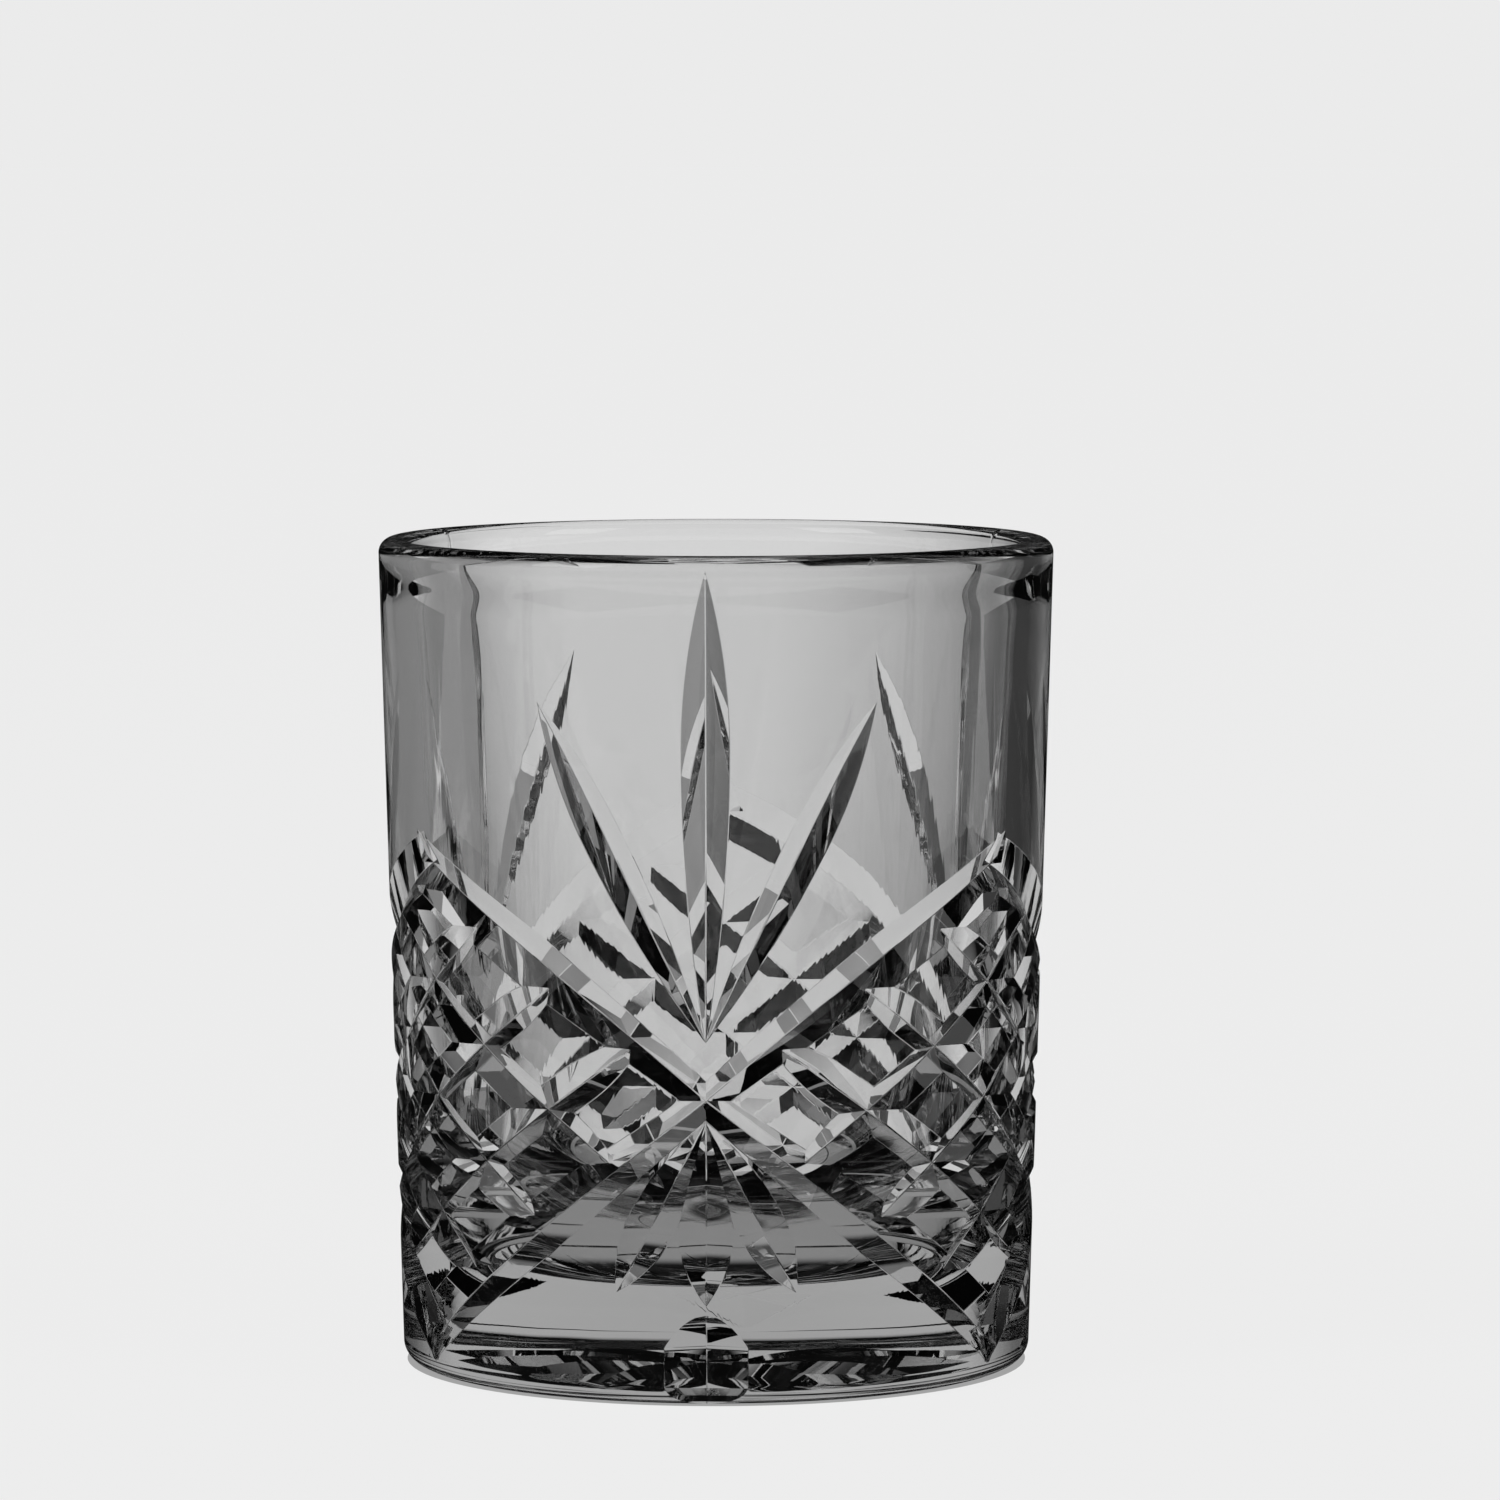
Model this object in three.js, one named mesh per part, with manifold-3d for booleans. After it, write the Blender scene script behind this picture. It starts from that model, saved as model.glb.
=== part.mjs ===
// Whiskey tumbler: one heavy pressing of glass with a mitre-cut pattern in its outside wall.
// The pattern repeats three times round the wall. Each repeat has two long mitres that cross in an X,
// a fan of leaf cuts above and below the crossing, a thumb cut at the heel, and, between one X and the
// next, a lozenge hatched with smaller mitres. The underside carries a moulded star.
// Millimetres, +Z up. The origin is the middle of the foot, on the table, and one X faces -Y.
import * as THREE from "three";
import { mergeVertices } from "three/addons/utils/BufferGeometryUtils.js";
import Module from "manifold-3d";

// Outside of the blank, before it is cut
const HEIGHT = 101;
const RIM_RADIUS = 41.25;
const FOOT_RADIUS = 38.35;
const HEEL_ROUND = 2.5;

// Lip and hollow. The hollow's wall is straight from the shoulder below the lip to the floor's fillet.
const LIP_THICKNESS = 3.6;
const SHOULDER_DEPTH = 8;
const SHOULDER_WALL = 4.1;
const LOWER_WALL = 6;
const FLOOR_THICKNESS = 12.1;
const FLOOR_FILLET = 20.5;

// Star in the underside
const STAR_RECESS = 0.8;
const FOOT_RING = 13.35; // from the wall in to the recess, along the table
const STAR_RECESS_RADIUS = FOOT_RADIUS - FOOT_RING;
const STAR_RAYS = 12;
const STAR_RAY_DEPTH = 1.44;
const STAR_MARGIN = 3; // from a ray's tip out to the edge of the recess
const STAR_RAY_LENGTH = STAR_RECESS_RADIUS - STAR_MARGIN;

// Pattern: heights on the wall, angles from the middle of an X, half widths, and half widths over depths
const REPEATS = 3;
const CROSSING_HEIGHT = 36.5;
const PEAK_HEIGHT = 62.8;
const VALLEY_HEIGHT = 6.6;
const UPPER_BOW = 2.2; // how far an upper arm bows up between its ends
const LOWER_BOW = -0.5;
const ARM_ROOT = 1.6; // half width at the crossing
const ARM_WIDTH = 3.4; // half width near the lozenge's corners
const ARM_SPREAD = 1.9; // how soon an arm reaches its full width, over its length
const ARM_PAST = 0.05; // how far an arm runs on past each end, over its length
const ARM_DEPTH_RATIO = 2.1;
const HATCH_LINES = 3;
const HATCH_WIDTH = 2.5;
const HATCH_DEPTH_RATIO = 1.65;
const HATCH_LIFT = 9; // length over which a hatch line rises out at its end
const HATCH_RISE = 0.75; // how much of its width it has lost there
const LEAF_DEPTH_RATIO = 1.75;
const LEAF_BELLY = 0.62; // where a leaf is widest, as a share of its length
const ROOT_ABOVE = 7; // from the crossing up to the upper leaves' root
const ROOT_BELOW = 2.5; // from the crossing down to the lower leaves' root
const THUMB = { top: 10.9, bottom: -3, arch: 4, width: 5, depthRatio: 2.4 };
const UPPER_ROOT = CROSSING_HEIGHT + ROOT_ABOVE;
const LOWER_ROOT = CROSSING_HEIGHT - ROOT_BELOW;
const UPPER_CENTRE = { root: UPPER_ROOT, tip: HEIGHT - 1.7, angle: 0, width: 2.9 };
const UPPER_SIDE = { root: UPPER_ROOT, tip: HEIGHT - 17.5, angle: 29.5, width: 2.5 };
const LOWER_CENTRE = { root: LOWER_ROOT, tip: THUMB.top + 1.1, angle: 0, width: 3.2 };
const LOWER_SIDE = { root: LOWER_ROOT, tip: THUMB.top + 2.6, angle: 16, width: 2.9 };

// Fineness of the facets
const ROUND_FACETS = 60;
const LIP_FACETS = 6; // even, so that one facet corner is the top of the lip
const FILLET_FACETS = 5;
const HEEL_FACETS = 3;
const ARM_FACETS = 8;
const HATCH_FACETS = 8;
const LEAF_FACETS = 6;
const THUMB_FACETS = 12;
const STAR_FACETS = 6;
const CUTTER_CLEARANCE = 1.2; // how far a cutter stands out of the glass

const wasm = await Module();
wasm.setup();

const arcPoints = (r, z, radius, from, to, steps) =>
  Array.from({ length: steps + 1 }, (_, i) => {
    const angle = from + ((to - from) * i) / steps;
    return new THREE.Vector2(r + radius * Math.cos(angle), z + radius * Math.sin(angle));
  });

const wallRadius = (z) => FOOT_RADIUS + ((RIM_RADIUS - FOOT_RADIUS) * z) / HEIGHT;

// Section of the blank, from the middle of the underside round the lip to the middle of the floor.
function blankSection() {
  const lipRadius = LIP_THICKNESS / 2;
  const lipMiddle = new THREE.Vector2(wallRadius(HEIGHT - lipRadius) - lipRadius, HEIGHT - lipRadius);
  const lipInside = new THREE.Vector2(lipMiddle.x - lipRadius, lipMiddle.y);
  const shoulderHeight = HEIGHT - SHOULDER_DEPTH;
  const shoulder = new THREE.Vector2(wallRadius(shoulderHeight) - SHOULDER_WALL, shoulderHeight);
  const filletTop = FLOOR_THICKNESS + FLOOR_FILLET;
  const lowerInside = new THREE.Vector2(wallRadius(filletTop) - LOWER_WALL, filletTop);
  const draft = Math.atan2(shoulder.x - lowerInside.x, shoulder.y - lowerInside.y);
  const ease = SHOULDER_DEPTH / 3; // length of the tangents that run the lip into the wall
  const lipRun = new THREE.CubicBezierCurve(
    lipInside,
    new THREE.Vector2(lipInside.x, lipInside.y - ease),
    new THREE.Vector2(shoulder.x + ease * Math.sin(draft), shoulder.y + ease * Math.cos(draft)),
    shoulder,
  );
  const filletMiddle = lowerInside.x - FLOOR_FILLET / Math.cos(draft);
  return [
    new THREE.Vector2(0, STAR_RECESS),
    new THREE.Vector2(STAR_RECESS_RADIUS, STAR_RECESS),
    new THREE.Vector2(STAR_RECESS_RADIUS + STAR_RECESS, 0),
    ...arcPoints(wallRadius(HEEL_ROUND) - HEEL_ROUND, HEEL_ROUND, HEEL_ROUND, -Math.PI / 2, 0, HEEL_FACETS),
    ...arcPoints(lipMiddle.x, lipMiddle.y, lipRadius, 0, Math.PI, LIP_FACETS),
    ...lipRun.getPoints(2).slice(1),
    ...arcPoints(filletMiddle, filletTop, FLOOR_FILLET, -draft, -Math.PI / 2, FILLET_FACETS),
    new THREE.Vector2(0, FLOOR_THICKNESS),
  ];
}

// A closed geometry as a manifold-3d solid.
function solid(geometry) {
  const bare = geometry.index ? geometry.toNonIndexed() : geometry.clone();
  bare.deleteAttribute("normal");
  bare.deleteAttribute("uv");
  const merged = mergeVertices(bare, 1e-4);
  return new wasm.Manifold(
    new wasm.Mesh({
      numProp: 3,
      vertProperties: new Float32Array(merged.attributes.position.array),
      triVerts: new Uint32Array(merged.index.array),
    }),
  );
}

// A bar of V section, 1 long and 2 wide at its open top, whose depth runs from 0 at the edge of the V to 1.
function vBar(steps) {
  const section = new THREE.Shape([
    new THREE.Vector2(0, 0),
    new THREE.Vector2(1, 1),
    new THREE.Vector2(-1, 1),
  ]);
  return new THREE.ExtrudeGeometry(section, { depth: 1, steps, bevelEnabled: false });
}

// A mitre cut along path(f), f from 0 to 1, which gives the angle in degrees and the height of its
// deepest line. halfWidth(f) is its half width at the wall, and ratio its half width over its depth.
function mitre(path, halfWidth, ratio, steps) {
  const bar = vBar(steps);
  const places = bar.attributes.position;
  const step = 1 / 64;
  for (let i = 0; i < places.count; i++) {
    const f = places.getZ(i);
    const [angle, height] = path(f);
    const [nearAngle, nearHeight] = path(f - step);
    const [farAngle, farHeight] = path(f + step);
    const radius = wallRadius(height);
    const along = new THREE.Vector2(
      THREE.MathUtils.degToRad(farAngle - nearAngle) * radius,
      farHeight - nearHeight,
    ).normalize();
    const depth = halfWidth(f) / ratio;
    const opening = depth + CUTTER_CLEARANCE;
    const across = places.getX(i) * opening * ratio;
    const z = height + across * along.x;
    const turn = THREE.MathUtils.degToRad(angle) - (across * along.y) / radius;
    const r = wallRadius(z) - depth + places.getY(i) * opening;
    places.setXYZ(i, r * Math.sin(turn), -r * Math.cos(turn), z);
  }
  return solid(bar);
}

const straight = (from, to) => (f) => [from[0] + (to[0] - from[0]) * f, from[1] + (to[1] - from[1]) * f];

// One arm of an X, from the crossing to a corner of the lozenge beside it.
const halfRepeat = 180 / REPEATS;
function armHeight(share, corner) {
  const bow = corner > CROSSING_HEIGHT ? UPPER_BOW : LOWER_BOW;
  return CROSSING_HEIGHT + (corner - CROSSING_HEIGHT) * share + 4 * bow * share * (1 - share);
}

function arm(side, corner) {
  const path = (f) => {
    const share = -ARM_PAST + (1 + 2 * ARM_PAST) * f;
    return [side * halfRepeat * share, armHeight(share, corner)];
  };
  const width = (f) => ARM_ROOT + (ARM_WIDTH - ARM_ROOT) * Math.min(1, Math.max(0, f) * ARM_SPREAD);
  return mitre(path, width, ARM_DEPTH_RATIO, ARM_FACETS);
}

// The hatch lines of one slope, from the lower arm on one side of the lozenge to the upper arm on the other.
function hatch(side) {
  const spacing = (PEAK_HEIGHT - VALLEY_HEIGHT) / (HATCH_LINES + 1);
  const slope = (PEAK_HEIGHT - VALLEY_HEIGHT) / (2 * halfRepeat);
  return Array.from({ length: HATCH_LINES }, (_, i) => {
    const middle = VALLEY_HEIGHT + spacing * (i + 1);
    const gap = (angle, corner, from) =>
      middle + slope * (angle - halfRepeat) - armHeight(Math.abs(angle - from) / halfRepeat, corner);
    const start = crossing((angle) => gap(angle, VALLEY_HEIGHT, 0), 0, halfRepeat);
    const end = crossing((angle) => gap(angle, PEAK_HEIGHT, 2 * halfRepeat), halfRepeat, 2 * halfRepeat);
    const length = Math.hypot(
      THREE.MathUtils.degToRad(end - start) * wallRadius(middle),
      slope * (end - start),
    );
    const lift = HATCH_LIFT / length;
    const width = (f) => {
      const rise = Math.max(0, 1 - Math.min(f, 1 - f) / lift);
      return HATCH_WIDTH * (1 - HATCH_RISE * rise * rise);
    };
    const path = (f) => {
      const angle = start + (end - start) * f;
      const mirrored = side > 0 ? angle : 2 * halfRepeat - angle;
      return [mirrored, middle + slope * (angle - halfRepeat)];
    };
    return mitre(path, width, HATCH_DEPTH_RATIO, HATCH_FACETS);
  });
}

// Angle at which value(angle) is nothing, between two angles where its sign differs.
function crossing(value, low, high) {
  const rising = value(high) > value(low);
  for (let i = 0; i < 40; i++) {
    const middle = (low + high) / 2;
    if (value(middle) > 0 === rising) high = middle;
    else low = middle;
  }
  return (low + high) / 2;
}

// A leaf cut, pointed at its root and its tip and widest at the belly; side is -1, 0 or 1.
function leaf({ root, tip, angle, width }, side) {
  const halfWidth = (f) => {
    const share = f < LEAF_BELLY ? (LEAF_BELLY - f) / LEAF_BELLY : (f - LEAF_BELLY) / (1 - LEAF_BELLY);
    return width * (1 - share * share);
  };
  return mitre(straight([0, root], [side * angle, tip]), halfWidth, LEAF_DEPTH_RATIO, LEAF_FACETS);
}

// A centre leaf with one on either side.
const fan = (centre, side) => [leaf(centre, 0), leaf(side, -1), leaf(side, 1)];

// The short upright cut that opens through the heel below each crossing: a pointed arch on parallel sides.
function thumbCut() {
  const { top, bottom, arch, width, depthRatio } = THUMB;
  const halfWidth = (f) => width * Math.sqrt(Math.min(1, ((1 - f) * (top - bottom)) / arch));
  return mitre(straight([0, bottom], [0, top]), halfWidth, depthRatio, THUMB_FACETS);
}

// A ray of the star, a V that is deepest at the middle of the underside's recess and rises to its tip.
function starRay(turn) {
  const bar = vBar(STAR_FACETS);
  const places = bar.attributes.position;
  for (let i = 0; i < places.count; i++) {
    const share = places.getZ(i);
    const depth = STAR_RAY_DEPTH * 4 * share * (1 - share);
    const opening = depth + CUTTER_CLEARANCE;
    const away = STAR_RAY_LENGTH * share;
    const across = places.getX(i) * opening;
    const z = STAR_RECESS + depth - places.getY(i) * opening;
    const x = away * Math.sin(turn) - across * Math.cos(turn);
    const y = -away * Math.cos(turn) - across * Math.sin(turn);
    places.setXYZ(i, x, y, z);
  }
  return solid(bar);
}

function cutGlass() {
  const section = blankSection();
  const lathe = new THREE.LatheGeometry(section, ROUND_FACETS, 0, 2 * Math.PI).rotateX(Math.PI / 2);
  const blank = solid(lathe);
  const panel = [
    ...[-1, 1].flatMap((side) => [arm(side, PEAK_HEIGHT), arm(side, VALLEY_HEIGHT)]),
    ...hatch(1),
    ...hatch(-1),
    ...fan(UPPER_CENTRE, UPPER_SIDE),
    ...fan(LOWER_CENTRE, LOWER_SIDE),
    thumbCut(),
  ];
  const cutters = [];
  for (let i = 0; i < REPEATS; i++)
    cutters.push(...panel.map((cutter) => cutter.rotate([0, 0, (360 / REPEATS) * i])));
  for (let i = 0; i < STAR_RAYS; i++) cutters.push(starRay((2 * Math.PI * i) / STAR_RAYS));
  const cut = cutters.reduce((glass, cutter) => glass.subtract(cutter), blank);
  const mesh = cut.getMesh();
  const geometry = new THREE.BufferGeometry();
  const places = new Float32Array(mesh.vertProperties);
  geometry.setAttribute("position", new THREE.BufferAttribute(places, mesh.numProp));
  geometry.setIndex(new THREE.BufferAttribute(new Uint32Array(mesh.triVerts), 1));
  geometry.computeVertexNormals();
  return geometry;
}

const smokedGlass = new THREE.MeshStandardMaterial({
  color: 0x8f9192,
  roughness: 0.05,
  metalness: 0,
  transparent: true,
  opacity: 0.4,
});

const tumbler = new THREE.Group();
const glass = new THREE.Mesh(cutGlass(), smokedGlass);
glass.name = "tumbler_glass";
tumbler.add(glass);

export default tumbler;
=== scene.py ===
"""Whiskey tumbler: a heavy pressing of smoke-grey glass with a mitre-cut pattern, on a pale studio floor."""

from math import atan, atan2, cos, pi, radians, sin, tan

import bmesh
import bpy
from bpy.props import FloatProperty, FloatVectorProperty, IntProperty
from bpy.types import Operator, Panel, PropertyGroup
from mathutils import Matrix, Vector


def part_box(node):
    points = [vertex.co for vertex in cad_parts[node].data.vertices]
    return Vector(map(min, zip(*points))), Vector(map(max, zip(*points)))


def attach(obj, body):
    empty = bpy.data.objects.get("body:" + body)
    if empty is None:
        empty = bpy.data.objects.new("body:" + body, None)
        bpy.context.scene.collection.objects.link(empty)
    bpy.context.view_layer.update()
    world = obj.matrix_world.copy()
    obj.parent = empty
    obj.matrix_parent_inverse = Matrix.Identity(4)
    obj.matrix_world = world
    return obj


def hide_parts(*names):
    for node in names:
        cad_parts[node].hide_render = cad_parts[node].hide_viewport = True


bl_info = {
    "name": "Whiskey Tumbler",
    "version": (1, 0, 0),
    "blender": (4, 5, 0),
    "location": "3D View > Sidebar > Tumbler",
    "description": "Presses, cuts and stages a smoke-grey whiskey tumbler",
    "category": "Add Mesh",
}

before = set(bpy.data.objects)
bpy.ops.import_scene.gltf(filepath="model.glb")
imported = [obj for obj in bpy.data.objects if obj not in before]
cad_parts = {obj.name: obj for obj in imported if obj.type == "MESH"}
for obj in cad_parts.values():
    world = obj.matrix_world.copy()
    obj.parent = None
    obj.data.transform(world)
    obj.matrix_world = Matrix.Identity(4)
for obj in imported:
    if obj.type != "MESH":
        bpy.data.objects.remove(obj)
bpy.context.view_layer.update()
NODE = "tumbler_glass"
NODE_LOW, NODE_HIGH = (Vector(corner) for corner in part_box(NODE))
MM = 0.001
CLEAR = 1.5 * MM  # how far a cutter stands out of the glass
LEAST = 0.02 * MM  # half width, or depth, that stands for none at the end of a cut


def length(name, millimetres, description):
    """A length in metres whose default is given in millimetres."""
    default = millimetres * MM
    return FloatProperty(name=name, description=description, default=default, unit="LENGTH", precision=5)


def angle(name, degrees, description):
    """An angle whose default is given in degrees."""
    return FloatProperty(name=name, description=description, default=radians(degrees), unit="ROTATION")


def share(name, value, description):
    """A plain number."""
    return FloatProperty(name=name, description=description, default=value)


class BlankSizes(PropertyGroup):
    """The glass before it is cut."""

    height: FloatProperty(
        name="Height",
        description="Foot to the top of the lip",
        default=NODE_HIGH.z - NODE_LOW.z,
        unit="LENGTH",
    )
    rim_radius: length("Rim radius", 41.25, "Outside radius of the wall, carried up to the full height")
    foot_radius: length("Foot radius", 38.35, "Outside radius of the wall, carried down to the table")
    heel_round: length("Heel round", 2.5, "Radius between the wall and the foot")
    lip_thickness: length("Lip thickness", 3.6, "Thickness of the full-round lip")
    shoulder_depth: length("Shoulder depth", 8, "Below the top of the lip, where the hollow's wall starts")
    shoulder_wall: length("Shoulder wall", 4.1, "Wall thickness at the shoulder")
    lower_wall: length("Lower wall", 6, "Wall thickness where the floor's fillet starts")
    floor_thickness: length("Floor thickness", 12.1, "Height of the hollow's floor above the table")
    floor_fillet: length("Floor fillet", 20.5, "Radius between the floor and the hollow's wall")
    recess: length("Star recess", 0.8, "How far the underside stands above the table inside the foot ring")
    recess_radius: length("Recess radius", 25, "Radius of the underside inside the foot ring")
    facets: IntProperty(name="Facets", description="Facets round the glass", default=360)


class CutSizes(PropertyGroup):
    """The pattern: heights on the wall, half widths of the cuts, and half widths over depths."""

    repeats: IntProperty(name="Repeats", description="Times the pattern goes round", default=3)
    crossing: length("Crossing height", 36.5, "Where two arms cross")
    peak: length("Peak height", 62.8, "Upper corner of a lozenge")
    valley: length("Valley height", 6.6, "Lower corner of a lozenge")
    upper_bow: length("Upper arm's bow", 2.2, "How far an upper arm bows up between its ends")
    lower_bow: length("Lower arm's bow", -0.5, "How far a lower arm bows up between its ends")
    arm_root: length("Arm root", 1.6, "Half width of an arm at the crossing")
    arm_width: length("Arm width", 3.4, "Half width of an arm by a lozenge's corners")
    arm_spread: share("Arm spread", 1.9, "How soon an arm reaches its full width, over its length")
    arm_past: share("Arm's run past", 0.05, "How far an arm runs on past each end, over its length")
    arm_ratio: share("Arm ratio", 2.1, "Half width over depth")
    hatch_lines: IntProperty(name="Hatch lines", description="Lines of each slope in a lozenge", default=3)
    hatch_width: length("Hatch width", 2.5, "Half width of a hatch line")
    hatch_ratio: share("Hatch ratio", 1.65, "Half width over depth")
    hatch_lift: length("Hatch lift", 9, "Length over which a hatch line rises out at its end")
    hatch_rise: share("Hatch rise", 0.75, "How much of its width a hatch line has lost at its end")
    leaf_ratio: share("Leaf ratio", 1.75, "Half width over depth of a leaf cut")
    upper_root: length("Upper fan root", 43.5, "Where the leaves above a crossing meet")
    upper_belly: share("Upper fan belly", 0.62, "Where a leaf is widest, as a share of its length")
    centre_below_rim: length("Centre leaf's tip", 1.7, "Below the rim")
    side_below_rim: length("Side leaf's tip", 17.5, "Below the rim")
    side_angle: angle("Side leaf's angle", 29.5, "Round the wall, from the centre leaf")
    centre_width: length("Centre leaf's width", 2.9, "Half width")
    side_width: length("Side leaf's width", 2.5, "Half width")
    lower_root: length("Lower fan root", 34, "Where the leaves below a crossing meet")
    lower_belly: share("Lower fan belly", 0.62, "Where a leaf is widest, as a share of its length")
    lower_centre_tip: length("Lower centre tip", 12, "Height of the tip")
    lower_side_tip: length("Lower side tips", 13.5, "Height of the tips")
    lower_side_angle: angle("Lower side leaf", 16, "Round the wall, from the centre leaf")
    lower_centre_width: length("Lower centre leaf's width", 3.2, "Half width")
    lower_side_width: length("Lower side leaf's width", 2.9, "Half width")
    thumb_top: length("Thumb cut's top", 10.9, "Height on the wall")
    thumb_bottom: length("Thumb cut's bottom", -3, "Height at which the tool ends, below the foot")
    thumb_arch: length("Thumb cut's arch", 4, "Length of its pointed end")
    thumb_width: length("Thumb cut's width", 5, "Half width")
    thumb_ratio: share("Thumb ratio", 2.4, "Half width over depth")
    star_rays: IntProperty(name="Star rays", description="Rays in the underside", default=12)
    star_depth: length("Star depth", 1.44, "Depth of a ray at its deepest")
    star_length: length("Star length", 22, "Length of a ray")
    arris: length("Arris", 0.35, "Radius that fire polishing leaves along the cuts' edges")
    root_round: length("Root round", 0.25, "Radius along the bottom of a cut")


class GlassFinish(PropertyGroup):
    """The smoke-grey glass."""

    stain: FloatVectorProperty(
        name="Stain",
        description="What a wall's two surfaces pass",
        default=(0.87, 0.87, 0.87),
        size=3,
        subtype="COLOR",
    )
    density: share("Density", 9, "Absorption per metre of depth")
    index: share("Index", 1.52, "Index of refraction")
    wave: length("Wave", 0.03, "Height of the unevenness that pressing leaves in the surface")
    wave_scale: share("Wave scale", 90, "Waves in a metre")


class StageSizes(PropertyGroup):
    """Floor, light and camera."""

    camera_distance: length("Camera distance", 992.2, "From the middle of the glass, along the floor")
    camera_height: length("Camera height", 158.05, "Above the floor")
    camera_pitch: angle("Camera pitch", 4.793, "Below the horizontal")
    camera_round: angle("Camera round", 1.8, "Round the glass, from the middle of a crossing")
    camera_aside: angle("Camera aside", 0.2395, "How far right of the glass the camera looks")
    lens: FloatProperty(
        name="Lens",
        description="Focal length on a 36 mm sensor",
        default=195.22,
        subtype="DISTANCE_CAMERA",
    )
    floor_radius: length("Floor radius", 12000, "Radius of the floor")
    floor_glow: share("Floor glow", 0.83, "How brightly the floor glows")
    backdrop: share("Backdrop", 0.831, "How bright the backdrop is")
    ceiling: share("Ceiling", 0.006, "How bright the dark overhead is")
    aside: share("Backdrop aside", 0.4, "What the backdrop keeps of its light in front and to the sides")
    # The near flags are black cards seen only through the glass: painted shade on the floor round it.
    shade_flag_reach: length("Flag reach", 200, "How far the near flags reach in front and to either side")
    shade_flag_lane: length("Flag lane", 16, "From the middle of the glass to a near flag's inner edge")
    shade_flag_near: length("Flag's near edge", 42, "Behind the middle of the glass")
    shade_flag_far: length("Flag's far edge", 190, "Behind the middle of the glass")
    shade_inner: length("Shade's core", 16, "Radius of the darkest part of the glass's shade")
    shade_outer: length("Shade's edge", 21, "Radius from which light reaches the floor under the foot")
    shade_radius: length("Shade's radius", 38, "Radius of the whole shade")
    core_tone: share("Core's tone", 0.01, "How bright the shade's core is")
    edge_tone: share("Edge's tone", 0.36, "How bright the shade is from its edge outwards")


# The backdrop fades in as a direction turns to face straight behind the glass, by its part along Y, and
# fades out towards its top edge, by its part along Z.
BACKDROP_TURN = 0.4, 0.7
BACKDROP_TOP = 0.5, 0.22

# How the far card behind the glass glows: (how far aside over how far behind, tone)
FAR_FADE = (
    (-0.5, 0.3),
    (-0.3, 0.36),
    (-0.2, 0.62),
    (-0.12, 0.82),
    (0.0, 0.8),
    (0.09, 0.56),
    (0.2, 0.36),
    (0.3, 0.2),
    (0.45, 0.06),
)


def round_radius(blank, z):
    """Outside radius of the uncut wall at a height."""
    return blank.foot_radius + (blank.rim_radius - blank.foot_radius) * z / blank.height


def arc(x, z, radius, start, end, steps):
    """Points along an arc, in the plane of the blank's section."""
    turns = (start + (end - start) * i / steps for i in range(steps + 1))
    return [Vector((x + radius * cos(turn), 0, z + radius * sin(turn))) for turn in turns]


def blank_section(blank):
    """The blank's outline, from the middle of the underside round the lip to the middle of the floor."""
    lip = blank.lip_thickness / 2
    lip_z = blank.height - lip
    lip_x = round_radius(blank, lip_z) - lip
    shoulder_z = blank.height - blank.shoulder_depth
    shoulder = Vector((round_radius(blank, shoulder_z) - blank.shoulder_wall, 0, shoulder_z))
    fillet_z = blank.floor_thickness + blank.floor_fillet
    lower = Vector((round_radius(blank, fillet_z) - blank.lower_wall, 0, fillet_z))
    draft = atan2(shoulder.x - lower.x, shoulder.z - lower.z)
    ease = blank.shoulder_depth / 3
    lip_inside = Vector((lip_x - lip, 0, lip_z))
    handles = lip_inside - Vector((0, 0, ease)), shoulder + Vector((sin(draft), 0, cos(draft))) * ease
    steps = 10
    run = [
        lip_inside * (1 - t) ** 3
        + handles[0] * 3 * t * (1 - t) ** 2
        + handles[1] * 3 * t * t * (1 - t)
        + shoulder * t**3
        for t in (i / steps for i in range(1, steps + 1))
    ]
    heel = blank.heel_round
    fillet_x = lower.x - blank.floor_fillet / cos(draft)
    return [
        Vector((0, 0, blank.recess)),
        Vector((blank.recess_radius, 0, blank.recess)),
        Vector((blank.recess_radius + blank.recess, 0, 0)),
        *arc(round_radius(blank, heel) - heel, heel, heel, -pi / 2, 0, 14),
        *arc(lip_x, lip_z, lip, 0, pi, 28),
        *run,
        *arc(fillet_x, fillet_z, blank.floor_fillet, -draft, -pi / 2, 24),
        Vector((0, 0, blank.floor_thickness)),
    ]


def press_blank(blank):
    """A bmesh of the uncut glass: the section spun round the upright axis."""
    bm = bmesh.new()
    points = [bm.verts.new(point) for point in blank_section(blank)]
    line = [bm.edges.new(pair) for pair in zip(points, points[1:])]
    bmesh.ops.spin(
        bm,
        geom=points + line,
        cent=(0, 0, 0),
        axis=(0, 0, 1),
        angle=2 * pi,
        steps=blank.facets,
        use_merge=True,
    )
    bmesh.ops.remove_doubles(bm, verts=bm.verts, dist=1e-6)
    return face_outward(bm)


def face_outward(bm):
    """The bmesh with every face turned outward: the sum of its volume tells which way they all face."""
    bmesh.ops.recalc_face_normals(bm, faces=bm.faces)
    if bm.calc_volume(signed=True) < 0:
        bmesh.ops.reverse_faces(bm, faces=bm.faces)
    return bm


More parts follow.
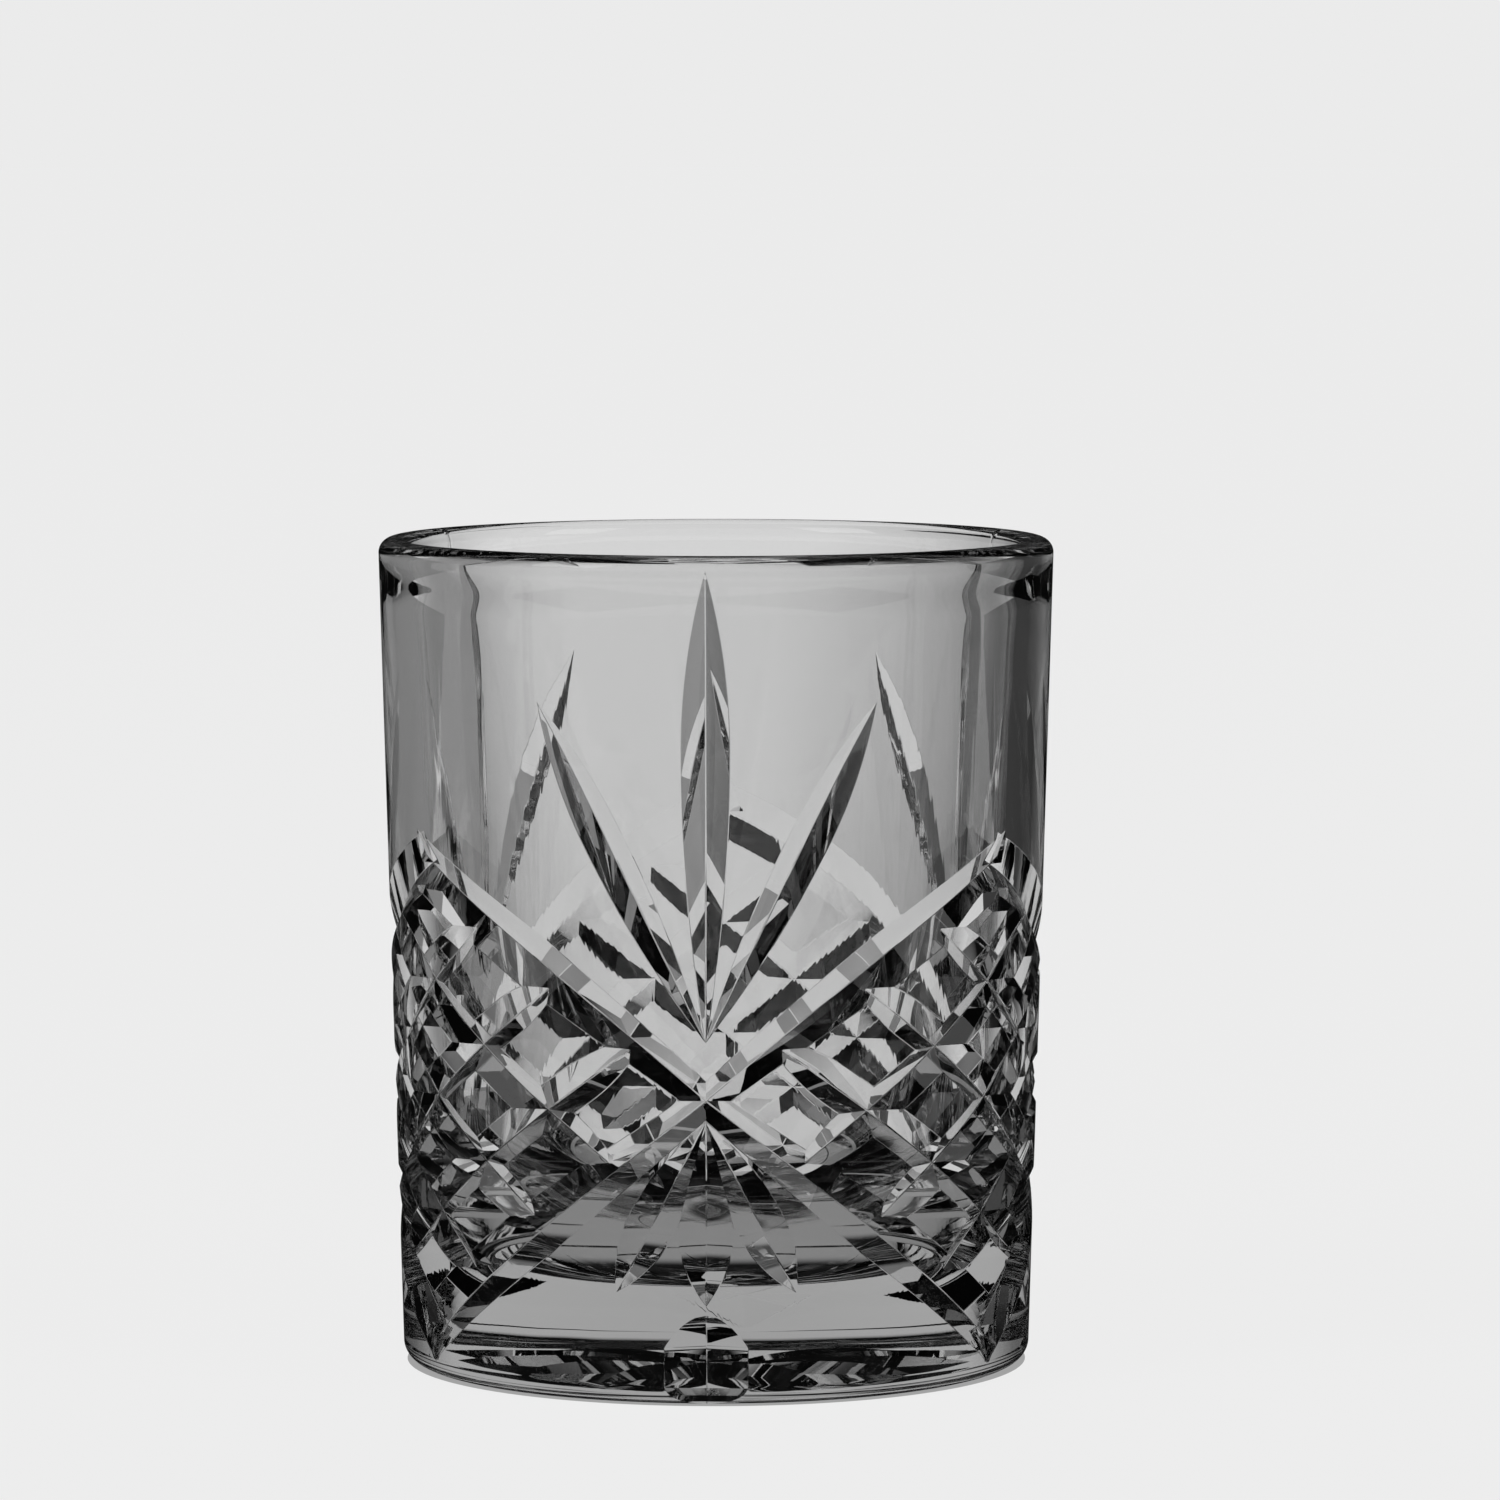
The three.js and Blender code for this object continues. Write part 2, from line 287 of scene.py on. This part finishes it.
def mitre_section(half_width, ratio, arris, root):
    """Right-hand half of a cut's section, as (across, height above the wall), from its bottom to its edge.

    The bottom is rounded by root and the edge by arris, both less where the cut is narrow.
    """
    slope = atan(1 / ratio)
    arris = min(arris, half_width * 0.7)
    root = min(root, half_width * 0.5)
    depth = half_width / ratio
    steps = 3
    bottom = [
        (root * sin(turn), root / cos(slope) - depth - root * cos(turn))
        for turn in (slope * i / steps for i in range(steps + 1))
    ]
    edge_x = half_width + arris * tan(slope / 2)
    edge = [
        (edge_x - arris * sin(turn), arris * cos(turn) - arris)
        for turn in (slope * (1 - i / steps) for i in range(steps + 1))
    ]
    edge[-1] = (edge_x, 2e-6)
    return bottom + edge


def mitre_cutter(blank, path, half_width, ratio, cuts, steps=48):
    """A bmesh of the tool that leaves one mitre cut.

    path(f), f from 0 to 1, gives the angle round the wall and the height of the cut's deepest line, and
    half_width(f) its half width at the wall.
    """
    halves = len(mitre_section(1, ratio, cuts.arris, cuts.root_round)) - 1
    bm = bmesh.new()
    bmesh.ops.create_grid(bm, x_segments=2 * halves, y_segments=steps, size=0.5)
    top = bmesh.ops.extrude_face_region(bm, geom=bm.faces[:])["geom"]
    bmesh.ops.translate(bm, verts=[v for v in top if isinstance(v, bmesh.types.BMVert)], vec=(0, 0, 1))
    near = 1 / 64
    for vert in bm.verts:
        f = vert.co.y + 0.5
        place = round(vert.co.x * 2 * halves)
        turn, height = path(f)
        turn_before, height_before = path(f - near)
        turn_after, height_after = path(f + near)
        radius = round_radius(blank, height)
        along = Vector(((turn_after - turn_before) * radius, height_after - height_before)).normalized()
        across, rise = mitre_section(half_width(f), ratio, cuts.arris, cuts.root_round)[abs(place)]
        across = across if place > 0 else -across
        if vert.co.z > 0.5:
            rise = CLEAR
        turn -= across * along.y / radius
        z = height + across * along.x
        r = round_radius(blank, z) + rise
        vert.co = (r * sin(turn), -r * cos(turn), z)
    return face_outward(bm)


def leaf(width, belly):
    """Half width along a leaf cut: next to nothing at both ends and full at the belly."""

    def half_width(f):
        away = (belly - f) / belly if f < belly else (f - belly) / (1 - belly)
        return max(LEAST, width * (1 - away * away))

    return half_width


def straight(start, end):
    """A path between two places on the wall, each an angle and a height."""
    return lambda f: (start[0] + (end[0] - start[0]) * f, start[1] + (end[1] - start[1]) * f)


def arm_height(cuts, along, corner):
    """Height of an arm at a share of the way from the crossing to a corner of the lozenge."""
    bow = cuts.upper_bow if corner > cuts.crossing else cuts.lower_bow
    return cuts.crossing + (corner - cuts.crossing) * along + 4 * bow * along * (1 - along)


def arm_cutter(blank, cuts, side, corner):
    """One arm of an X."""
    past = cuts.arm_past
    half_repeat = pi / cuts.repeats

    def path(f):
        along = -past + (1 + 2 * past) * f
        return side * half_repeat * along, arm_height(cuts, along, corner)

    def half_width(f):
        return cuts.arm_root + (cuts.arm_width - cuts.arm_root) * min(1, max(0, f) * cuts.arm_spread)

    return mitre_cutter(blank, path, half_width, cuts.arm_ratio, cuts)


def where_zero(value, low, high):
    """Where value(x) is nothing, between two places where its sign differs."""
    rising = value(high) > value(low)
    for _ in range(40):
        middle = (low + high) / 2
        if (value(middle) > 0) == rising:
            high = middle
        else:
            low = middle
    return (low + high) / 2


def hatch_cutters(blank, cuts, side):
    """The hatch lines of one slope in the lozenge between two crossings."""
    half_repeat = pi / cuts.repeats
    tall = cuts.peak - cuts.valley
    slope = tall / (2 * half_repeat)
    tools = []
    for i in range(cuts.hatch_lines):
        middle = cuts.valley + tall / (cuts.hatch_lines + 1) * (i + 1)

        def gap(turn, corner, origin):
            line = middle + slope * (turn - half_repeat)
            return line - arm_height(cuts, abs(turn - origin) / half_repeat, corner)

        start = where_zero(lambda turn: gap(turn, cuts.valley, 0), 0, half_repeat)
        end = where_zero(lambda turn: gap(turn, cuts.peak, 2 * half_repeat), half_repeat, 2 * half_repeat)
        run = Vector(((end - start) * round_radius(blank, middle), slope * (end - start))).length
        lift = cuts.hatch_lift / run

        def path(f):
            turn = start + (end - start) * f
            return turn if side > 0 else 2 * half_repeat - turn, middle + slope * (turn - half_repeat)

        def half_width(f):
            rise = max(0, 1 - min(f, 1 - f) / lift)
            return cuts.hatch_width * (1 - cuts.hatch_rise * rise * rise)

        tools.append(mitre_cutter(blank, path, half_width, cuts.hatch_ratio, cuts))
    return tools


def fan_cutters(blank, cuts):
    """The leaves above and below a crossing: in each fan, a centre leaf and one on either side."""
    upper_root, upper_belly = cuts.upper_root, cuts.upper_belly
    lower_root, lower_belly = cuts.lower_root, cuts.lower_belly
    centre_tip, side_tip = blank.height - cuts.centre_below_rim, blank.height - cuts.side_below_rim
    fans = (
        (upper_root, upper_belly, 0, centre_tip, cuts.centre_width),
        (upper_root, upper_belly, cuts.side_angle, side_tip, cuts.side_width),
        (lower_root, lower_belly, 0, cuts.lower_centre_tip, cuts.lower_centre_width),
        (lower_root, lower_belly, cuts.lower_side_angle, cuts.lower_side_tip, cuts.lower_side_width),
    )
    tools = []
    for root, belly, turn, tip, width in fans:
        for side in (-1, 1) if turn else (1,):
            path = straight((0, root), (side * turn, tip))
            tools.append(mitre_cutter(blank, path, leaf(width, belly), cuts.leaf_ratio, cuts))
    return tools


def thumb_cutter(blank, cuts):
    """The short upright cut that opens through the heel: a pointed arch on parallel sides."""
    tall = cuts.thumb_top - cuts.thumb_bottom

    def half_width(f):
        return max(LEAST, cuts.thumb_width * min(1, (1 - f) * tall / cuts.thumb_arch) ** 0.5)

    path = straight((0, cuts.thumb_bottom), (0, cuts.thumb_top))
    return mitre_cutter(blank, path, half_width, cuts.thumb_ratio, cuts)


def star_cutter(blank, cuts, turn):
    """A ray of the underside's star, deepest half way out."""
    bm = bmesh.new()
    bmesh.ops.create_grid(bm, x_segments=2, y_segments=24, size=0.5)
    top = bmesh.ops.extrude_face_region(bm, geom=bm.faces[:])["geom"]
    bmesh.ops.translate(bm, verts=[v for v in top if isinstance(v, bmesh.types.BMVert)], vec=(0, 0, 1))
    for vert in bm.verts:
        f = vert.co.y + 0.5
        place = round(vert.co.x * 2)
        depth = max(LEAST, cuts.star_depth * 4 * f * (1 - f))
        away = cuts.star_length * f
        z = blank.recess + (depth if place == 0 else -1e-6)
        if vert.co.z > 0.5:
            z = blank.recess - CLEAR
        vert.co = (place * depth * 1.02, -away, z)
    bmesh.ops.rotate(bm, verts=bm.verts, cent=(0, 0, 0), matrix=Matrix.Rotation(turn, 3, "Z"))
    return face_outward(bm)


def to_object(bm, name):
    """A new object with the bmesh's faces, which the bmesh is freed for."""
    mesh = bpy.data.meshes.new(name)
    bm.to_mesh(mesh)
    bm.free()
    piece = bpy.data.objects.new(name, mesh)
    bpy.context.scene.collection.objects.link(piece)
    return piece


def repeat_round(bm, repeats):
    """The bmesh with its copies at equal turns round the upright axis."""
    geom = bm.verts[:] + bm.edges[:] + bm.faces[:]
    for i in range(1, repeats):
        copy = bmesh.ops.duplicate(bm, geom=geom)["geom"]
        verts = [v for v in copy if isinstance(v, bmesh.types.BMVert)]
        turn = Matrix.Rotation(2 * pi * i / repeats, 3, "Z")
        bmesh.ops.rotate(bm, verts=verts, cent=(0, 0, 0), matrix=turn)
    return bm


def settle(piece):
    """Makes what the piece's modifiers give its mesh, and clears them."""
    settled = bpy.data.meshes.new_from_object(piece.evaluated_get(bpy.context.evaluated_depsgraph_get()))
    piece.modifiers.clear()
    rough = piece.data
    piece.data = settled
    settled.name = piece.name
    bpy.data.meshes.remove(rough)


def carve(piece, cutters):
    """Takes every cutter out of the piece, and leaves no cutter or modifier behind."""
    tools = [to_object(bm, "cutter") for bm in cutters]
    for tool in tools:
        cut = piece.modifiers.new(tool.name, "BOOLEAN")
        cut.operation = "DIFFERENCE"
        cut.solver = "MANIFOLD"
        cut.object = tool
    settle(piece)
    for tool in tools:
        mesh = tool.data
        bpy.data.objects.remove(tool)
        bpy.data.meshes.remove(mesh)


def level_normals(piece):
    """Keeps the shading of the flats flat and leaves the bend to the small faces between them."""
    weighted = piece.modifiers.new("weighted", "WEIGHTED_NORMAL")
    weighted.keep_sharp = True
    weighted.weight = 50
    settle(piece)


def smoked_glass(finish):
    """Clear-surfaced glass, tinted in its depth, with the faint unevenness of a pressing."""
    material = bpy.data.materials.new("smoked_glass")
    material.use_nodes = True
    tree = material.node_tree
    nodes, links = tree.nodes, tree.links
    shader = nodes["Principled BSDF"]
    shader.inputs["Base Color"].default_value = (*finish.stain, 1)
    shader.inputs["Roughness"].default_value = 0
    shader.inputs["IOR"].default_value = finish.index
    shader.inputs["Transmission Weight"].default_value = 1
    absorb = nodes.new("ShaderNodeVolumeAbsorption")
    absorb.inputs["Color"].default_value = (0, 0, 0, 1)
    absorb.inputs["Density"].default_value = finish.density
    links.new(absorb.outputs["Volume"], nodes["Material Output"].inputs["Volume"])
    place = nodes.new("ShaderNodeTexCoord")
    wave = nodes.new("ShaderNodeTexNoise")
    wave.inputs["Scale"].default_value = finish.wave_scale
    wave.inputs["Detail"].default_value = 1
    links.new(place.outputs["Object"], wave.inputs["Vector"])
    bump = nodes.new("ShaderNodeBump")
    bump.inputs["Strength"].default_value = 1
    bump.inputs["Distance"].default_value = finish.wave
    links.new(wave.outputs["Fac"], bump.inputs["Height"])
    links.new(bump.outputs["Normal"], shader.inputs["Normal"])
    return material


class TUMBLER_OT_press_glass(Operator):
    """Press the blank, cut its pattern and give it its glass"""

    bl_idname = "tumbler.press_glass"
    bl_label = "Press and cut the glass"

    def execute(self, context):
        blank, cuts = context.scene.tumbler_blank, context.scene.tumbler_cuts
        glass = to_object(press_blank(blank), "tumbler_cut_glass")
        corners = cuts.peak, cuts.valley
        panel = [
            *(arm_cutter(blank, cuts, side, corner) for side in (-1, 1) for corner in corners),
            *hatch_cutters(blank, cuts, 1),
            *hatch_cutters(blank, cuts, -1),
            *fan_cutters(blank, cuts),
            thumb_cutter(blank, cuts),
        ]
        cutters = [repeat_round(bm, cuts.repeats) for bm in panel]
        cutters += [star_cutter(blank, cuts, 2 * pi * i / cuts.star_rays) for i in range(cuts.star_rays)]
        carve(glass, cutters)
        if not glass.data.polygons:
            raise RuntimeError("the cuts left no glass")
        glass.data.shade_smooth()
        glass.data.set_sharp_from_angle(angle=radians(12))
        level_normals(glass)
        glass.data.materials.clear()
        glass.data.materials.append(smoked_glass(context.scene.tumbler_finish))
        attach(glass, "root")
        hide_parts(NODE)
        return {"FINISHED"}


def glow(name, tone):
    """A matt material that glows by a set tone, and its shader."""
    material = bpy.data.materials.new(name)
    material.use_nodes = True
    shader = material.node_tree.nodes["Principled BSDF"]
    shader.inputs["Base Color"].default_value = (0.01, 0.01, 0.01, 1)
    shader.inputs["Roughness"].default_value = 1
    shader.inputs["Specular IOR Level"].default_value = 0
    shader.inputs["Emission Color"].default_value = (1, 1, 1, 1)
    shader.inputs["Emission Strength"].default_value = tone
    return material, shader


def map_range(tree, value, low, high, bottom=0, top=1):
    """A Map Range node that takes low..high to bottom..top."""
    node = tree.nodes.new("ShaderNodeMapRange")
    for name, number in zip(("From Min", "From Max", "To Min", "To Max"), (low, high, bottom, top)):
        node.inputs[name].default_value = number
    tree.links.new(value, node.inputs["Value"])
    return node


def maths(tree, operation, first, second):
    """A Math node that joins two values."""
    node = tree.nodes.new("ShaderNodeMath")
    node.operation = operation
    tree.links.new(first, node.inputs[0])
    tree.links.new(second, node.inputs[1])
    return node


def disc(name, radius, z, material):
    """A round card on the floor."""
    bm = bmesh.new()
    bmesh.ops.create_circle(bm, cap_ends=True, segments=128, radius=radius)
    bmesh.ops.translate(bm, verts=bm.verts, vec=(0, 0, NODE_LOW.z + z))
    card = to_object(bm, name)
    card.data.materials.append(material)
    card.visible_glossy = False


def stage_floor(stage):
    """A wide pale floor that glows like a light table, and the shade under the glass's foot."""
    material, shader = glow("pale_floor", stage.floor_glow)
    shader.inputs["Base Color"].default_value = (0.1, 0.1, 0.1, 1)
    disc("pale_floor", stage.floor_radius, -0.02 * MM, material)
    material, shader = glow("foot_shade", 0)
    tree = material.node_tree
    place = tree.nodes.new("ShaderNodeTexCoord")
    away = tree.nodes.new("ShaderNodeVectorMath")
    away.operation = "LENGTH"
    tree.links.new(place.outputs["Object"], away.inputs[0])
    inner, outer = stage.shade_inner, stage.shade_outer
    shade = map_range(tree, away.outputs["Value"], inner, outer, stage.core_tone, stage.edge_tone)
    shade.interpolation_type = "SMOOTHSTEP"
    tree.links.new(shade.outputs["Result"], shader.inputs["Emission Strength"])
    disc("foot_shade", stage.shade_radius, -0.005 * MM, material)


def studio_sky(scene, stage):
    """What surrounds the stage: a pale backdrop up to its top edge, brightest behind the glass.

    The glass passes the backdrop on but doesn't mirror it, and above it sees the dark of the studio,
    which draws its edges.
    """
    world = bpy.data.worlds.new("studio")
    world.use_nodes = True
    scene.world = world
    tree = world.node_tree
    nodes, links = tree.nodes, tree.links
    place = nodes.new("ShaderNodeTexCoord")
    split = nodes.new("ShaderNodeSeparateXYZ")
    links.new(place.outputs["Generated"], split.inputs[0])
    behind = map_range(tree, split.outputs["Y"], *BACKDROP_TURN, stage.aside)
    under = map_range(tree, split.outputs["Z"], *BACKDROP_TOP)
    lit = maths(tree, "MULTIPLY", behind.outputs["Result"], under.outputs["Result"])
    ray = nodes.new("ShaderNodeLightPath")
    unmirrored = maths(tree, "SUBTRACT", lit.outputs["Value"], ray.outputs["Is Reflection Ray"])
    unmirrored.use_clamp = True
    seen = maths(tree, "MAXIMUM", unmirrored.outputs["Value"], ray.outputs["Is Camera Ray"])
    tone = nodes.new("ShaderNodeMix")
    tone.data_type = "RGBA"
    tone.inputs["A"].default_value = (*[stage.ceiling] * 3, 1)
    tone.inputs["B"].default_value = (*[stage.backdrop] * 3, 1)
    links.new(seen.outputs["Value"], tone.inputs["Factor"])
    links.new(tone.outputs["Result"], nodes["Background"].inputs["Color"])


def softbox(name, place, width, height, watts):
    """A soft rectangular light aimed at the middle of the glass, which shows it only in its surface."""
    light = bpy.data.lights.new(name, "AREA")
    light.shape = "RECTANGLE"
    light.size = width
    light.size_y = height
    light.energy = watts
    lamp = bpy.data.objects.new(name, light)
    lamp.visible_transmission = False
    lamp.location = place
    aim = Vector((0, 0, 50 * MM)) - Vector(place)
    lamp.rotation_euler = aim.to_track_quat("-Z", "Y").to_euler()
    bpy.context.scene.collection.objects.link(lamp)


def flag(name, left, right, near, far, tone, lift=0.01 * MM):
    """A card that lies near the glass, seen only through it, to draw the cuts that look down on it: a black
    one is painted shade where the camera sees pale floor, a glowing one painted backdrop light.
    """
    bm = bmesh.new()
    bmesh.ops.create_grid(bm, x_segments=1, y_segments=1, size=0.5)
    bmesh.ops.scale(bm, verts=bm.verts, vec=(right - left, far - near, 1))
    bmesh.ops.translate(bm, verts=bm.verts, vec=((left + right) / 2, (near + far) / 2, NODE_LOW.z - lift))
    card = to_object(bm, name)
    material, shader = glow(name, tone)
    card.data.materials.append(material)
    card.visible_camera = False
    card.visible_shadow = False
    card.visible_diffuse = False
    card.visible_glossy = False
    return material.node_tree, shader


def fade_sideways(tree, shader, stops):
    """Makes a card's glow follow how far to the side a place lies, over how far behind the glass it lies."""
    nodes, links = tree.nodes, tree.links
    place = nodes.new("ShaderNodeTexCoord")
    split = nodes.new("ShaderNodeSeparateXYZ")
    links.new(place.outputs["Object"], split.inputs[0])
    slant = nodes.new("ShaderNodeMath")
    slant.operation = "DIVIDE"
    links.new(split.outputs["X"], slant.inputs[0])
    links.new(split.outputs["Y"], slant.inputs[1])
    shift = nodes.new("ShaderNodeMath")
    shift.inputs[1].default_value = 0.5
    links.new(slant.outputs["Value"], shift.inputs[0])
    ramp = nodes.new("ShaderNodeValToRGB")
    elements = ramp.color_ramp.elements
    elements.remove(elements[1])
    elements[0].position = stops[0][0] + 0.5
    for at, _ in stops[1:]:
        elements.new(at + 0.5)
    for element, (_, tone) in zip(elements, stops):
        element.color = (tone, tone, tone, 1)
    links.new(shift.outputs["Value"], ramp.inputs["Fac"])
    links.new(ramp.outputs["Color"], shader.inputs["Emission Color"])
    shader.inputs["Emission Strength"].default_value = 1


class TUMBLER_OT_set_stage(Operator):
    """Lay the floor, light it and set the camera"""

    bl_idname = "tumbler.set_stage"
    bl_label = "Set the stage"

    def execute(self, context):
        scene, stage = context.scene, context.scene.tumbler_stage
        stage_floor(stage)
        studio_sky(scene, stage)
        lane, near, far, wide = stage.shade_flag_lane, stage.shade_flag_near, stage.shade_flag_far, stage.shade_flag_reach
        # Black cards seen only through the glass: painted shade in place of the pale floor near it.
        flag("front_shade_flag", -wide, wide, -wide, near, 0)
        flag("left_near_shade_flag", -wide, -lane, near, far, 0)
        flag("right_near_shade_flag", lane, wide, near, far, 0)
        fade_sideways(*flag("far_fade", -4, 4, far, 6, 1, 0.015 * MM), FAR_FADE)
        flag("right_far_shade_flag", lane, wide, far, far * 1.6, 0)
        softbox("key_softbox", (-0.9, -0.7, 0.9), 0.6, 0.9, 3)
        softbox("fill_softbox", (0.9, -0.5, 0.7), 0.5, 0.8, 1.5)
        camera = bpy.data.objects.new("camera", bpy.data.cameras.new("camera"))
        camera.data.lens = stage.lens
        camera.data.sensor_width = 36
        camera.data.clip_end = 100
        turn, away = stage.camera_round, stage.camera_distance
        camera.location = (away * sin(turn), -away * cos(turn), stage.camera_height)
        camera.rotation_euler = (pi / 2 - stage.camera_pitch, 0, turn - stage.camera_aside)
        scene.collection.objects.link(camera)
        scene.camera = camera
        scene.view_settings.view_transform = "Standard"
        scene.cycles.max_bounces = 24
        scene.cycles.transmission_bounces = 24
        scene.cycles.glossy_bounces = 12
        return {"FINISHED"}


class TUMBLER_PT_sidebar(Panel):
    """The tumbler's sizes and the buttons that build it"""

    bl_label = "Tumbler"
    bl_space_type = "VIEW_3D"
    bl_region_type = "UI"
    bl_category = "Tumbler"

    def draw(self, context):
        for group in ("tumbler_blank", "tumbler_cuts", "tumbler_finish", "tumbler_stage"):
            box = self.layout.box()
            settings = getattr(context.scene, group)
            for name in settings.__annotations__:
                box.prop(settings, name)
        self.layout.operator(TUMBLER_OT_press_glass.bl_idname)
        self.layout.operator(TUMBLER_OT_set_stage.bl_idname)


GROUPS = {
    "tumbler_blank": BlankSizes,
    "tumbler_cuts": CutSizes,
    "tumbler_finish": GlassFinish,
    "tumbler_stage": StageSizes,
}
CLASSES = (*GROUPS.values(), TUMBLER_OT_press_glass, TUMBLER_OT_set_stage, TUMBLER_PT_sidebar)


def register():
    for cls in CLASSES:
        bpy.utils.register_class(cls)
    for name, group in GROUPS.items():
        setattr(bpy.types.Scene, name, bpy.props.PointerProperty(type=group))


def unregister():
    for name in GROUPS:
        delattr(bpy.types.Scene, name)
    for cls in reversed(CLASSES):
        bpy.utils.unregister_class(cls)


def main():
    register()
    bpy.ops.tumbler.press_glass()
    bpy.ops.tumbler.set_stage()


if __name__ == "__main__":
    main()
